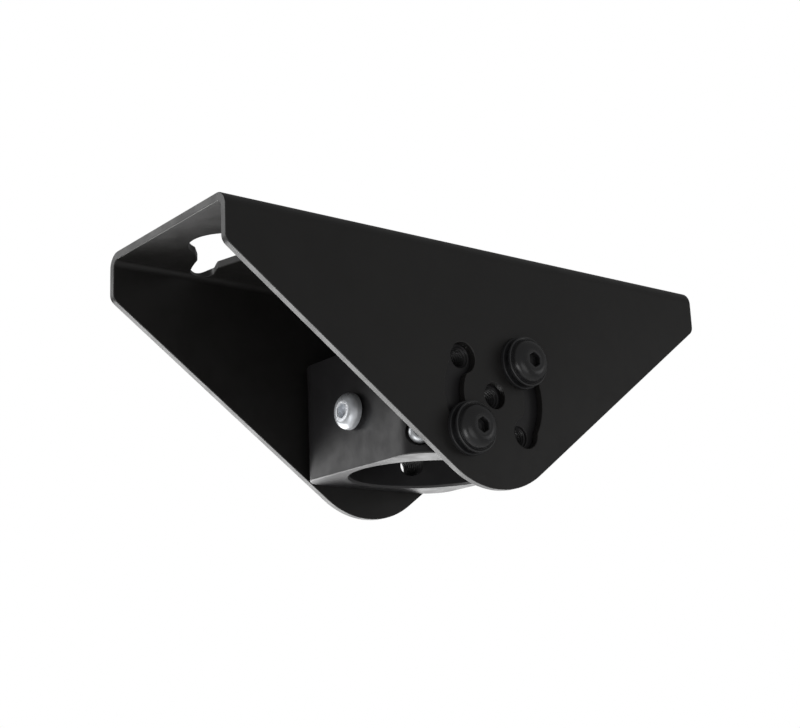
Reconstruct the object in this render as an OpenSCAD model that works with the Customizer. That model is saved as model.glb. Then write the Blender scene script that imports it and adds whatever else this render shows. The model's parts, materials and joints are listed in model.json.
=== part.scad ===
// Ceiling mount for a round display pole: a folded steel bracket whose two deep cheeks
// carry a tilting pole collar on four screws that slide in curved slots.
// Millimetres. X runs along the bracket, Y from cheek to cheek, +Z up.
// The origin is the middle of the flat face that meets the ceiling.

/* [Ceiling bracket] */
// Length of the folded bracket
bracket_l = 230; // [216:1:300]
// Width over the outside of the two cheeks
bracket_w = 82; // [76:1:100]
// Thickness of the steel sheet
sheet_t = 3; // [2:0.25:4]
// Radius on the inside of the two folds
fold_r = 2.7; // [2:0.1:4]
// Height of the cheeks at the ends of the bracket, to their sharp corner
end_h = 17.8; // [15:0.1:22]
// Rounding of the cheeks' low end corners
end_corner_r = 4; // [2:0.5:6]
// Radius of the rounded tip of each cheek
tip_r = 35; // [33:0.5:40]

/* [Tilt pivot] */
// Depth of the tilt axis below the ceiling face
pivot_drop = 58.2; // [58:0.2:70]
// Diameter of the sighting hole on the tilt axis in each cheek
pivot_hole_d = 10; // [8:0.5:11]
// Radius from the tilt axis to the tilt screws and the middle of their slots
slot_r = 19.4; // [18.5:0.1:20]
// Width of the curved slots
slot_w = 9; // [8.8:0.1:10]
// Diameter of the enlarged end of each curved slot
slot_eye_d = 11.8; // [10.5:0.1:13]
// Bearing of the upper tilt screws from the tilt axis at rest, from +X towards +Z
tilt_screw_angle = 45; // [42:1:48]
// Tilt of the collar from upright to the far end of the slots
tilt_range = 86; // [60:1:88]
// Run of each slot past the resting tilt screw
slot_overrun = 3; // [2:0.5:4]

/* [Ceiling keyholes] */
// Radius of the circle that the two keyholes are turned along
keyhole_r = 86.5; // [82:0.25:90]
// Diameter of the entry hole of each keyhole
keyhole_d = 30; // [24:0.5:34]
// Width of the curved tail of each keyhole
tail_w = 9.5; // [8:0.5:11]
// Turn from the bracket's middle line to the middle of each entry hole
keyhole_turn = 1.7; // [0:0.1:3]
// Turn from the middle line to the outer corner of each keyhole's throat
throat_outer = 16.5; // [15:0.5:18]
// Turn from the middle line to the inner corner of each keyhole's throat
throat_inner = 20.5; // [19:0.5:21.5]
// Metal left between the end of the front tail and the cheek's outer face
front_tail_margin = 1.9; // [1.6:0.1:6]
// Metal left between the end of the rear tail and the cheek's outer face
rear_tail_margin = 4.2; // [1.6:0.1:6]

/* [Pole collar] */
// Size of the collar along the bracket
collar_l = 69; // [68:0.5:76]
// Height of the collar
collar_h = 46; // [42:0.5:46]
// Radius of the collar's four upright corners
collar_corner_r = 11; // [8:0.5:14]
// Diameter of the pole that the collar takes
pole_d = 60; // [50:0.5:60]
// Clearance of the pole in its bore, on the diameter
pole_clearance = 0.6; // [0.4:0.1:1]
// Gap between the collar and each cheek
cheek_gap = 0.3; // [0.2:0.1:0.5]
// Chamfer round both mouths of the bore
mouth_chamfer = 0.8; // [0.4:0.1:1.2]

/* [Tilt screws] */
// Thread diameter of the tilt screws
tilt_thread_d = 8; // [7:0.5:8]
// Depth of the tilt screws' thread past the cheek's outer face
tilt_thread_l = 12; // [10:0.5:13]
// Diameter of the flange under each tilt screw's head
tilt_flange_d = 19; // [18:0.5:20]
// Thickness of that flange
tilt_flange_t = 1.1; // [0.8:0.1:1.6]
// Diameter of the domed head above the flange
tilt_head_d = 16.5; // [14:0.5:17.5]
// Height of the head over its flange's underside
tilt_head_h = 4.6; // [4:0.1:5.5]
// Width across the flats of the key sockets in the tilt screws
tilt_socket_af = 5; // [4:0.5:6]
// Outside diameter of the flat washers
flat_washer_d = 20; // [18:0.5:22]
// Thickness of the flat washers
flat_washer_t = 1.6; // [1.2:0.1:2]
// Outside diameter of the spring lock washers
lock_washer_d = 14.8; // [13:0.2:16]
// Thickness of the spring lock washers
lock_washer_t = 2; // [1.6:0.1:2.4]
// Width of the split in each lock washer
lock_split = 1.2; // [0.8:0.1:1.6]

/* [Pole screws] */
// Thread diameter of the two clamp screws
clamp_thread_d = 8; // [6:0.5:8]
// Head diameter of the clamp screws
clamp_head_d = 14; // [12:0.5:15]
// Head height of the clamp screws
clamp_head_h = 4.6; // [4:0.1:5.5]
// Width across the flats of the clamp screws' sockets
clamp_socket_af = 5; // [4:0.5:6]
// Height of the clamp screws below the tilt axis
clamp_drop = 1.6; // [0:0.1:4]
// Thread diameter of the corner lock screw
lock_thread_d = 5; // [4:0.5:6]
// Head diameter of the corner lock screw
lock_head_d = 8.5; // [8:0.1:9]
// Head height of the corner lock screw
lock_head_h = 2.8; // [2:0.1:3.5]
// Width across the flats of the corner lock screw's socket
lock_socket_af = 3; // [2:0.5:4]
// Height of the corner lock screw above the collar's lower face
lock_rise = 8.2; // [7:0.2:9]
// Diameter of the pocket that the lock screw's head sits in
lock_pocket_d = 10.6; // [10:0.2:11]
// Depth of that pocket below the collar's rounded corner
lock_pocket_depth = 4.2; // [3.8:0.1:5]
// Gap under the heads of the pole screws, which are not driven home
head_standoff = 1.4; // [0.8:0.1:1.8]
// How far the tips of the pole screws stay back from the bore
tip_setback = 0.2; // [0:0.1:1]

/* [Hidden] */
$fn = 96;
// Clearance between a screw and the hole that it runs in, on the radius
thread_gap = 0.1;
// Clearance between a washer and the shank through it, on the radius
washer_gap = 0.3;
// Running gap between the cheek and the first washer on it
rub_gap = 0.05;
// How far a cutter runs past the face that it leaves
cut = 1;
// Share of a button head's radius that is flat on top
crown = 0.5;
// Steps in the dome of a button head
dome_steps = 6;
// Depth of a key socket as a share of the head's height
socket_share = 0.6;
// Chamfer on the tip of every screw
tip_chamfer = 0.8;
// Angle of the split in the lock washers
split_slant = 25;
// How far inside the sides of a keyhole's tail the corners of its throat lie
throat_inset = 1.5;

outer_r = fold_r + sheet_t;
collar_w = bracket_w - 2 * sheet_t - 2 * cheek_gap;
bore_r = (pole_d + pole_clearance) / 2;
stack_h = rub_gap + flat_washer_t + lock_washer_t;

// Place of each tilt screw: name, side of the bracket, bearing about the tilt axis
STATIONS = [
    ["near_upper", -1, tilt_screw_angle],
    ["near_lower", -1, tilt_screw_angle + 180],
    ["far_upper", 1, tilt_screw_angle],
    ["far_lower", 1, tilt_screw_angle + 180],
];

// Place of each pole screw's group: name, turn about the bore
ENDS = [["front", 180], ["rear", 0]];
// Middle of a rounded corner of the collar, and the bearing of the one that holds the lock screw
corner_mid_x = collar_l / 2 - collar_corner_r * (1 - cos(45));
corner_mid_y = collar_w / 2 - collar_corner_r * (1 - sin(45));
lock_bearing = 180 + atan2(corner_mid_y, corner_mid_x);
lock_drop = collar_h / 2 - lock_rise;
pocket_floor = norm([corner_mid_x, corner_mid_y]) - lock_pocket_depth;

// Folded section of the bracket, drawn with Y across and Z up
module fold_outline(half_w, r, top) {
    translate([-half_w, -bracket_reach])
        square([2 * half_w, bracket_reach - r - top]);
    translate([-half_w + r, -r - top])
        square([2 * (half_w - r), r]);
    for (side = [-1, 1])
        translate([side * (half_w - r), -r - top])
            circle(r);
}

// Lowest point of the cheeks, with room for the cutters
bracket_reach = pivot_drop + tip_r + cut;

module folded_section() {
    difference() {
        fold_outline(bracket_w / 2, outer_r, 0);
        fold_outline(bracket_w / 2 - sheet_t, fold_r, sheet_t);
        translate([-bracket_w / 2 + sheet_t, -bracket_reach - cut])
            square([bracket_w - 2 * sheet_t, 2 * cut]);
    }
}

// Points and angles of a cheek's sloping edge, from its end corner to the round tip
corner = [bracket_l / 2, pivot_drop - end_h];
tangent_angle = atan2(corner[1], corner[0]) - acos(tip_r / norm(corner));
tangent = tip_r * [cos(tangent_angle), sin(tangent_angle)];
slope = (tangent - corner) / norm(tangent - corner);
// Length that the corner rounding takes from each edge
corner_run = end_corner_r / tan((90 - asin(slope[1])) / 2);

// Block with the outline of a cheek seen from the side, about the tilt axis, with X along,
// Y up the cheek and Z through it
module cheek_block(depth) {
    rounding_end = corner + corner_run * slope;
    linear_extrude(depth, center = true)
        polygon([
            [-corner[0], pivot_drop],
            corner + [0, end_h],
            corner + [0, corner_run],
            rounding_end,
            tangent,
            [-tangent[0], tangent[1]],
            [-rounding_end[0], rounding_end[1]],
            [-corner[0], corner[1] + corner_run],
        ]);
    for (side = [-1, 1])
        translate([side * (corner[0] - end_corner_r), corner[1] + corner_run])
            cylinder(h = depth, r = end_corner_r, center = true);
    cylinder(h = depth, r = tip_r, center = true);
}

// Curved slot from bearing a, where it has a round end, to bearing b, where it is open.
// The two are less than 180 degrees apart.
module curved_slot(r, w, a, b) {
    turn = b - a;
    reach = 2 * (r + w) / cos(turn / 2);
    rotate(a) {
        intersection() {
            difference() {
                circle(r + w / 2);
                circle(r - w / 2);
            }
            polygon([[0, 0], [reach, 0], reach * [cos(turn), sin(turn)]]);
        }
        translate([r, 0])
            circle(d = w);
    }
}

// Curved slot for one tilt screw, with its enlarged eye at the far end of the tilt
module tilt_slot() {
    low = tilt_screw_angle - tilt_range;
    curved_slot(slot_r, slot_w, tilt_screw_angle + slot_overrun, low);
    rotate(low)
        translate([slot_r, 0])
            circle(d = slot_eye_d);
}

// Everything that is punched through both cheeks
module cheek_cutouts() {
    circle(d = pivot_hole_d);
    for (half = [0, 180])
        rotate(half)
            tilt_slot();
}

// Keyhole in the flat of the bracket: round entry, tapered throat and curved tail.
// Screws enter the round hole, and the bracket is turned to bring them along the tail.
module keyhole(tail_margin) {
    tail_end = asin((bracket_w / 2 - tail_margin - tail_w / 2) / keyhole_r);
    entry = keyhole_r * [cos(keyhole_turn), -sin(keyhole_turn)];
    outer_corner = (keyhole_r + tail_w / 2 - throat_inset) * [cos(throat_outer), -sin(throat_outer)];
    inner_corner = (keyhole_r - tail_w / 2 + throat_inset) * [cos(throat_inner), -sin(throat_inner)];
    neck = (outer_corner + inner_corner) / 2;
    run = (neck - entry) / norm(neck - entry);
    across = [-run[1], run[0]];
    translate(entry)
        circle(d = keyhole_d);
    polygon([
        entry + across * keyhole_d / 2,
        entry - across * keyhole_d / 2,
        inner_corner,
        outer_corner,
    ]);
    curved_slot(keyhole_r, tail_w, -tail_end, -keyhole_turn);
}

module ceiling_bracket() {
    color("#2b2b2c")
    difference() {
        intersection() {
            rotate([90, 0, 90])
                linear_extrude(bracket_l, center = true)
                    folded_section();
            translate([0, 0, -pivot_drop])
                rotate([90, 0, 0])
                    cheek_block(bracket_w + 2 * cut);
        }
        translate([0, 0, -pivot_drop])
            rotate([90, 0, 0])
                linear_extrude(bracket_w + 2 * cut, center = true)
                    cheek_cutouts();
        for (k = [[0, rear_tail_margin], [180, front_tail_margin]])
            rotate(k[0])
                translate([0, 0, -outer_r - cut])
                    linear_extrude(outer_r + 2 * cut)
                        keyhole(k[1]);
    }
}

// Rounded rectangle made of exact arcs
module rounded_rectangle(l, w, r) {
    square([l - 2 * r, w], center = true);
    square([l, w - 2 * r], center = true);
    for (x = [-1, 1], y = [-1, 1])
        translate([x * (l / 2 - r), y * (w / 2 - r)])
            circle(r);
}

// Screw hole that runs outwards along +X from the bore's axis, with its thread clearance
module radial_hole(thread_d) {
    rotate([0, 90, 0])
        cylinder(h = collar_l + collar_w, r = thread_d / 2 + thread_gap);
}

module pole_collar() {
    tap_x = slot_r * cos(tilt_screw_angle);
    tap_z = slot_r * sin(tilt_screw_angle);
    color("#2f2f31")
    translate([0, 0, -pivot_drop])
    difference() {
        linear_extrude(collar_h, center = true)
            rounded_rectangle(collar_l, collar_w, collar_corner_r);
        cylinder(h = collar_h + 2 * cut, r = bore_r, center = true);
        for (end = [-1, 1])
            translate([0, 0, end * (collar_h / 2 - mouth_chamfer)])
                rotate([end < 0 ? 180 : 0, 0, 0])
                    cylinder(h = mouth_chamfer + cut, r1 = bore_r, r2 = bore_r + mouth_chamfer + cut);
        // Four tapped holes on the screw circle, and one on the tilt axis, in each side
        for (side = [0, 180], bearing = [-1, 1, 0])
            rotate(side)
                for (x = bearing == 0 ? [0] : [-1, 1])
                    translate([x * tap_x, 0, bearing * tap_z])
                        rotate([-90, 0, 0])
                            cylinder(h = collar_w, r = tilt_thread_d / 2 + thread_gap);
        for (e = ENDS)
            translate([0, 0, -clamp_drop])
                rotate(e[1])
                    radial_hole(clamp_thread_d);
        translate([0, 0, -lock_drop])
            rotate(lock_bearing) {
                radial_hole(lock_thread_d);
                translate([pocket_floor, 0, 0])
                    rotate([0, 90, 0])
                        cylinder(h = collar_l, d = lock_pocket_d);
            }
    }
}

// Points of a dome from its rim radius to its flat crown, as radius and height pairs.
// The height follows a quarter of an ellipse between the two.
function dome(rim_r, rim_h, top_h) = [
    for (i = [0 : dome_steps])
        let (a = 90 * i / dome_steps)
            [rim_r * (crown + (1 - crown) * cos(a)), rim_h + (top_h - rim_h) * sin(a)]
];

// Button-head screw on +Z: head above z = 0, threaded shank below it.
// A flange of no thickness leaves a plain button head.
module button_screw(thread_d, thread_l, head_d, head_h, socket_af, flange_d, flange_t) {
    rim_h = flange_t > 0 ? flange_t : head_h / 4;
    difference() {
        union() {
            rotate_extrude()
                polygon(concat(
                    [[0, 0], [head_d / 2, 0]],
                    dome(head_d / 2, rim_h, head_h),
                    [[0, head_h]]
                ));
            if (flange_t > 0)
                cylinder(h = flange_t, d = flange_d);
            translate([0, 0, -thread_l + tip_chamfer])
                cylinder(h = thread_l - tip_chamfer, d = thread_d);
            translate([0, 0, -thread_l])
                cylinder(h = tip_chamfer, r1 = thread_d / 2 - tip_chamfer, r2 = thread_d / 2);
        }
        translate([0, 0, head_h * (1 - socket_share)])
            cylinder(h = head_h, d = socket_af / cos(30), $fn = 6);
    }
}

// Puts a fastener at a tilt station, with its +Z pointing away from the cheek's outer face
module at_station(s) {
    translate([slot_r * cos(s[2]), s[1] * bracket_w / 2, -pivot_drop + slot_r * sin(s[2])])
        rotate([-90 * s[1], 0, 0])
            children();
}

module tilt_screw(s) {
    color("#3a3a3c")
    at_station(s)
        translate([0, 0, stack_h])
            button_screw(tilt_thread_d, stack_h + tilt_thread_l, tilt_head_d, tilt_head_h,
                tilt_socket_af, tilt_flange_d, tilt_flange_t);
}

module flat_washer(s) {
    color("#1d1d1e")
    at_station(s)
        translate([0, 0, rub_gap])
            difference() {
                cylinder(h = flat_washer_t, d = flat_washer_d);
                translate([0, 0, -cut])
                    cylinder(h = flat_washer_t + 2 * cut, r = tilt_thread_d / 2 + washer_gap);
            }
}

module lock_washer(s) {
    color("#c9ccd0")
    at_station(s)
        translate([0, 0, rub_gap + flat_washer_t])
            difference() {
                cylinder(h = lock_washer_t, d = lock_washer_d);
                translate([0, 0, -cut])
                    cylinder(h = lock_washer_t + 2 * cut, r = tilt_thread_d / 2 + washer_gap);
                translate([lock_washer_d / 2, 0, lock_washer_t / 2])
                    rotate([split_slant, 0, 0])
                        cube([lock_washer_d, lock_split, 4 * lock_washer_t], center = true);
            }
}

// Places a pole screw with its +Z pointing out of the collar, its head clear of a face
// that lies at distance seat from the bore's axis
module at_pole_screw(bearing, drop, seat) {
    translate([0, 0, -pivot_drop - drop])
        rotate(bearing)
            translate([seat + head_standoff, 0, 0])
                rotate([0, 90, 0])
                    children();
}

module clamp_screw(e) {
    seat = collar_l / 2;
    color("#c9ccd0")
    at_pole_screw(e[1], clamp_drop, seat)
        button_screw(clamp_thread_d, seat + head_standoff - bore_r - tip_setback, clamp_head_d,
            clamp_head_h, clamp_socket_af, 0, 0);
}

module lock_screw() {
    color("#c9ccd0")
    at_pole_screw(lock_bearing, lock_drop, pocket_floor)
        button_screw(lock_thread_d, pocket_floor + head_standoff - bore_r - tip_setback,
            lock_head_d, lock_head_h, lock_socket_af, 0, 0);
}

ceiling_bracket();
pole_collar();
lock_screw();
for (s = STATIONS) {
    flat_washer(s);
    lock_washer(s);
    tilt_screw(s);
}
for (e = ENDS) {
    clamp_screw(e);
}
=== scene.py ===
"""Dresses the ceiling pole mount: softened sheet edges, cut threads, powder coat and zinc plating.

Shapes are worked out in millimetres and scaled to metres when a mesh is made. Each surface
is an array of points with its own normals, so flats stay flat up to their rounded edges.
"""

import json
import logging
import math
from dataclasses import dataclass
from enum import Enum

import bpy
import numpy as np
from mathutils import Matrix, Vector
from mathutils.geometry import delaunay_2d_cdt


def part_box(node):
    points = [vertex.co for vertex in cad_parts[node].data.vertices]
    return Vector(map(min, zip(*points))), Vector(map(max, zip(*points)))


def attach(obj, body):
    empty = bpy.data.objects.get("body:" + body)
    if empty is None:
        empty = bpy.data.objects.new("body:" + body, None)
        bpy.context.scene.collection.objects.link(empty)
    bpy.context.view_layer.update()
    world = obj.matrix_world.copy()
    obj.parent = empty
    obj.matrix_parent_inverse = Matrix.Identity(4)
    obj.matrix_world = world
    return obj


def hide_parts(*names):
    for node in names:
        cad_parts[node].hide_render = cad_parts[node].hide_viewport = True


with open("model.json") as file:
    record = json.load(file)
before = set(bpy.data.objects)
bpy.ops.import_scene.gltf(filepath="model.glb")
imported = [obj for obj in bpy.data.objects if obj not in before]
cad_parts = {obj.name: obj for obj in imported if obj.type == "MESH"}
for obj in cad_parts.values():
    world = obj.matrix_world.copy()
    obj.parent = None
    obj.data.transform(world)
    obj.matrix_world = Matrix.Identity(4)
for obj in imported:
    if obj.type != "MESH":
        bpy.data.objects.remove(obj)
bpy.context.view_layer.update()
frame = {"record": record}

MM = 0.001
# Millimetres between the points of a rough line, and between picked points in a fold
SAMPLE_STEP = 0.1
FOLD_STEP = 0.7
# Degrees that a cut line turns between two picked points
TURN_STEP = 6.0
# Millimetres that further points stay away from a cut line
INNER_GAP = 0.5
# Smallest triangle kept, in square millimetres, and the reach that joins filled points
SLIVER_AREA = 0.001
FILL_REACH = 1e-6
# Grid that points are welded on, and its shift off round values
WELD_GRID = 1e-4
WELD_SHIFT = 0.00314159
# Colour of the dust that settles on dark finishes
DUST_COLOUR = (0.35, 0.35, 0.36, 1.0)
# How far a socket's corners reach past its flats at most, which rounds them a little
CORNER_STRETCH = 1.13
# Least share of a wall's normal that lies along a line which meets the wall, and how much
# further to the side the wall is looked at
LEAST_FACING = 0.3
SIDE_MARGIN = 1.0
# Half the angle left at a bend of 45 degrees
BEND_HALF_ANGLE = 67.5
# Sizes below these count as none
TINY = 1e-12
SMALL = 1e-9

Array = np.ndarray
log = logging.getLogger("pole_mount")


def unit(vectors: Array) -> Array:
    """Scale vectors to length one along their last axis."""
    return vectors / np.maximum(np.linalg.norm(vectors, axis=-1, keepdims=True), TINY)


def arc(centre: tuple[float, float], radius: float, start: float, end: float) -> Array:
    """Sample an arc in a plane.

    Each point is the centre plus the radius times the cosine and sine of a bearing that
    grows evenly from start to end.

    Args:
        centre: Middle of the arc's circle.
        radius: Radius of the circle.
        start: First bearing in degrees.
        end: Last bearing in degrees.

    Returns:
        The points, one row each.
    """
    count = max(4, int(abs(math.radians(end - start)) * radius / SAMPLE_STEP))
    bearing = np.radians(np.linspace(start, end, count))
    return np.stack([centre[0] + radius * np.cos(bearing), centre[1] + radius * np.sin(bearing)], 1)


def polar(radius: float, bearing: float) -> Array:
    """Point at a radius and a bearing in degrees."""
    return radius * np.array([math.cos(math.radians(bearing)), math.sin(math.radians(bearing))])


def inside(points: Array, loop: Array) -> Array:
    """Tell which points lie inside a closed loop, by counting the edges to their right.

    Args:
        points: Points in the plane, one row each.
        loop: Corners of the loop in order.

    Returns:
        One truth value for each point.
    """
    ahead = np.roll(loop, -1, axis=0)
    x, y = points[:, :1], points[:, 1:]
    spans = (loop[:, 1] > y) != (ahead[:, 1] > y)
    rise = np.where(ahead[:, 1] == loop[:, 1], 1, ahead[:, 1] - loop[:, 1])
    cross = loop[:, 0] + (y - loop[:, 1]) * (ahead[:, 0] - loop[:, 0]) / rise
    return (spans & (x < cross)).sum(axis=1) % 2 == 1


@dataclass
class Outline:
    """A closed cut line with a direction at each point that leads away from the metal."""

    points: Array
    away: Array

    @classmethod
    def cut(
        cls,
        points: Array,
        hole: bool,
        soften: float = 0.28,
        max_step: float = 3.0,
        fine: Array | None = None,
    ) -> "Outline":
        """Turn a rough counter-clockwise line into a cut line.

        The line is resampled at even steps, its corners are rounded by a Gaussian average
        along it, and points are then picked closer together where it turns.

        Args:
            points: Corners and dense arc points in order.
            hole: True for a hole in the metal, false for its outer edge.
            soften: Reach of the Gaussian average.
            max_step: Longest step between picked points.
            fine: Two distances from the middle line between which steps are short.

        Returns:
            The cut line.
        """
        loop = np.vstack([points, points[:1]])
        run = np.concatenate([[0], np.cumsum(np.linalg.norm(np.diff(loop, axis=0), axis=1))])
        count = int(run[-1] / SAMPLE_STEP)
        step = run[-1] / count
        at = np.arange(count) * step
        even = np.stack([np.interp(at, run, loop[:, k]) for k in (0, 1)], axis=1)
        wave = np.fft.rfftfreq(count, step)
        keep = np.exp(-2 * (math.pi * soften * wave) ** 2)[:, None]
        even = np.fft.irfft(np.fft.rfft(even, axis=0) * keep, count, axis=0)
        tangent = unit(np.roll(even, -1, axis=0) - np.roll(even, 1, axis=0))
        away = np.stack([tangent[:, 1], -tangent[:, 0]], axis=1) * (-1 if hole else 1)
        turn = np.linalg.norm(np.roll(tangent, -1, axis=0) - tangent, axis=1)
        share = turn / math.radians(TURN_STEP) + step / max_step
        if fine is not None:
            across = np.abs(even[:, 1])
            share = share + np.where((across > fine[0]) & (across < fine[1]), step / FOLD_STEP, 0)
        measure = np.concatenate([[0], np.cumsum(share)])
        picks = np.linspace(0, measure[-1], int(measure[-1]) + 1)[:-1]
        closed = [np.vstack([a, a[:1]]) for a in (even, away)]
        taken = [np.stack([np.interp(picks, measure, a[:, k]) for k in (0, 1)], 1) for a in closed]
        return cls(taken[0], unit(taken[1]))

    def inset(self, depth: float) -> Array:
        """Points of the line moved into the metal by a depth."""
        return self.points - self.away * depth


def rounded_edge(thickness: float, radius: float, steps: int = 4) -> tuple[Array, Array]:
    """Section of a sheet's cut edge: a quarter round, a flat and another quarter round.

    Args:
        thickness: Thickness of the sheet, which lies below height zero.
        radius: Radius of both quarter rounds.
        steps: Steps in each quarter round.

    Returns:
        Reach past the metal and height of each point, and the two parts of its normal.
    """
    bearing = np.linspace(90, 0, steps + 1)
    lean = np.radians(np.concatenate([bearing, -bearing[::-1]]))
    middle = np.where(lean > SMALL, -radius, -thickness + radius)
    middle[steps] = -radius
    points = np.stack([radius * (np.cos(lean) - 1), middle + radius * np.sin(lean)], axis=1)
    return points, np.stack([np.cos(lean), np.sin(lean)], axis=1)


def leaning(level: Array, flat: Array, rise: Array) -> Array:
    """Normals that lean from level directions towards the vertical.

    Each one is a level direction times its flat part, with the rise as its third part.

    Args:
        level: Level direction of each row.
        flat: Level part of each column.
        rise: Upright part of each column.

    Returns:
        Grid of normals, rows first.
    """
    sideways = level[:, None] * flat[:, None]
    upright = np.broadcast_to(rise[:, None], (len(level), len(flat), 1))
    return np.concatenate([sideways, upright], axis=2)


def grid_normals(points: Array) -> Array:
    """Normals of a grid of points from its two central differences.

    Args:
        points: Grid of points, whose first direction runs round and joins itself.

    Returns:
        One unit normal for each point. Where a ring has shrunk to a pole, the mean of its
        neighbour ring is used.
    """
    along = np.roll(points, -1, axis=0) - np.roll(points, 1, axis=0)
    order = 2 if points.shape[1] > 2 else 1
    across = np.gradient(points, axis=1, edge_order=order)
    normals = np.cross(along, across)
    size = np.linalg.norm(normals, axis=2)
    for ring, neighbour in ((0, 1), (-1, -2)):
        if size[:, ring].max() < SMALL:
            normals[:, ring] = unit(normals[:, neighbour]).mean(axis=0)
    return unit(normals)


class Solid:
    """Gathers surfaces with corner normals and welds them into one closed mesh."""

    def __init__(self) -> None:
        """Start with no surfaces."""
        self.points: list[Array] = []
        self.normals: list[Array] = []
        self.wear: list[Array] = []
        self.triangles: list[Array] = []
        self.count = 0

    def patch(self, points: Array, normals: Array, triangles: Array, wear: float | Array = 0.0) -> None:
        """Add a surface given as triangles.

        Args:
            points: Points, one row each.
            normals: Outward normal at each point.
            triangles: Three point numbers in each row, in either turning sense.
            wear: How exposed each point is, from 0 on a flat to 1 on an edge; it sets both wear and a
                painted edge highlight.
        """
        self.points.append(points)
        self.normals.append(normals)
        self.wear.append(np.broadcast_to(np.asarray(wear, float), len(points)))
        self.triangles.append(triangles + self.count)
        self.count += len(points)

    def grid(
        self,
        points: Array,
        normals: Array | None = None,
        flip: bool = False,
        wear: float | Array = 0.0,
    ) -> None:
        """Add a surface given as a grid of points.

        Args:
            points: Grid of points, whose first direction joins itself.
            normals: Outward normals, or None to take them from the grid.
            flip: True if the grid's own normals point inwards.
            wear: Exposure to wear and to the painted edge highlight, one value or one for each column.
        """
        if normals is None:
            normals = grid_normals(points) * (-1 if flip else 1)
        rows, columns = points.shape[:2]
        number = np.arange(rows * columns).reshape(rows, columns)
        ahead = np.roll(number, -1, axis=0)
        corners = [number[:, :-1], ahead[:, :-1], ahead[:, 1:], number[:, 1:]]
        quads = np.stack(corners, axis=-1).reshape(-1, 4)
        triangles = np.vstack([quads[:, [0, 1, 2]], quads[:, [0, 2, 3]]])
        spread = np.broadcast_to(np.asarray(wear, float), (rows, columns)).reshape(-1)
        self.patch(points.reshape(-1, 3), normals.reshape(-1, 3), triangles, spread)

    def build(self, name: str) -> bpy.types.Object:
        """Weld the surfaces and make the object.

        Points that agree to a tenth of a micrometre become one. Each triangle is turned so
        that it faces the way its corner normals point.

        Args:
            name: Name of the new object.

        Returns:
            The object, at the origin, with smooth faces and its own normals.
        """
        points = np.vstack(self.points)
        normals = np.vstack(self.normals)
        wear = np.concatenate(self.wear)
        triangles = np.vstack(self.triangles)
        keys = np.round((points + WELD_SHIFT) / WELD_GRID).astype(np.int64)
        _, first, welded = np.unique(keys, axis=0, return_index=True, return_inverse=True)
        welded = welded.reshape(-1)
        corners = welded[triangles]
        whole = (corners != np.roll(corners, 1, axis=1)).all(axis=1)
        triangles, corners = triangles[whole], corners[whole]
        place = points[first]
        a, b, c = (place[corners[:, k]] for k in (0, 1, 2))
        facing = np.cross(b - a, c - a)
        turned = (facing * normals[triangles].mean(axis=1)).sum(axis=1) < 0
        corners[turned] = corners[turned][:, ::-1]
        triangles[turned] = triangles[turned][:, ::-1]
        mesh = bpy.data.meshes.new(name)
        mesh.vertices.add(len(place))
        mesh.vertices.foreach_set("co", (place * MM).astype(np.float32).ravel())
        mesh.loops.add(corners.size)
        mesh.loops.foreach_set("vertex_index", corners.astype(np.int32).ravel())
        mesh.polygons.add(len(corners))
        mesh.polygons.foreach_set("loop_start", np.arange(0, corners.size, 3, dtype=np.int32))
        mesh.update(calc_edges=True)
        mesh.polygons.foreach_set("use_smooth", np.ones(len(corners), bool))
        # The wear attribute drives rubbed spots and a painted highlight along edges.
        exposed = np.zeros(len(place))
        np.maximum.at(exposed, welded, wear)
        mesh.attributes.new("wear", "FLOAT", "POINT").data.foreach_set("value", exposed.astype(np.float32))
        mesh.normals_split_custom_set(unit(normals[triangles]).reshape(-1, 3))
        made = bpy.data.objects.new(name, mesh)
        bpy.context.scene.collection.objects.link(made)
        return made


def fill(outer: Array, holes: list[Array], inner: Array) -> tuple[Array, Array]:
    """Cover a flat region with triangles.

    Args:
        outer: Corners of the region's outer loop.
        holes: Corners of each hole's loop.
        inner: Further points to pass through, some of which may lie outside the region.

    Returns:
        The points used and the triangles' point numbers.
    """
    loops = [outer, *holes]
    rim = np.vstack(loops)
    kept = inside(inner, outer)
    for hole in holes:
        kept &= ~inside(inner, hole)
    gap = np.array([np.abs(rim - p).sum(axis=1).min() for p in inner])
    points = np.vstack([rim, inner[kept & (gap > INNER_GAP)]])
    edges: list[list[int]] = []
    start = 0
    for loop in loops:
        number = np.arange(len(loop)) + start
        edges += np.stack([number, np.roll(number, -1)], axis=1).tolist()
        start += len(loop)
    flat = [Vector(p) for p in points]
    _, _, faces, origins, _, _ = delaunay_2d_cdt(flat, edges, [], 1, FILL_REACH, True)
    source = np.array([ids[0] if ids else -1 for ids in origins])
    triangles = source[np.array(faces)]
    region = regions(triangles, np.array(edges), len(points))
    corner = points[triangles]
    span = np.cross(corner[:, 1] - corner[:, 0], corner[:, 2] - corner[:, 0])
    area = np.abs(span)
    order = np.argsort(area)
    largest = np.zeros(len(triangles), int)
    largest[region[order]] = order
    middle = corner.mean(axis=1)
    held = inside(middle, outer) & (area > SLIVER_AREA)
    for hole in holes:
        held &= ~inside(middle, hole)
    return points, triangles[held[largest[region]]]


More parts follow.
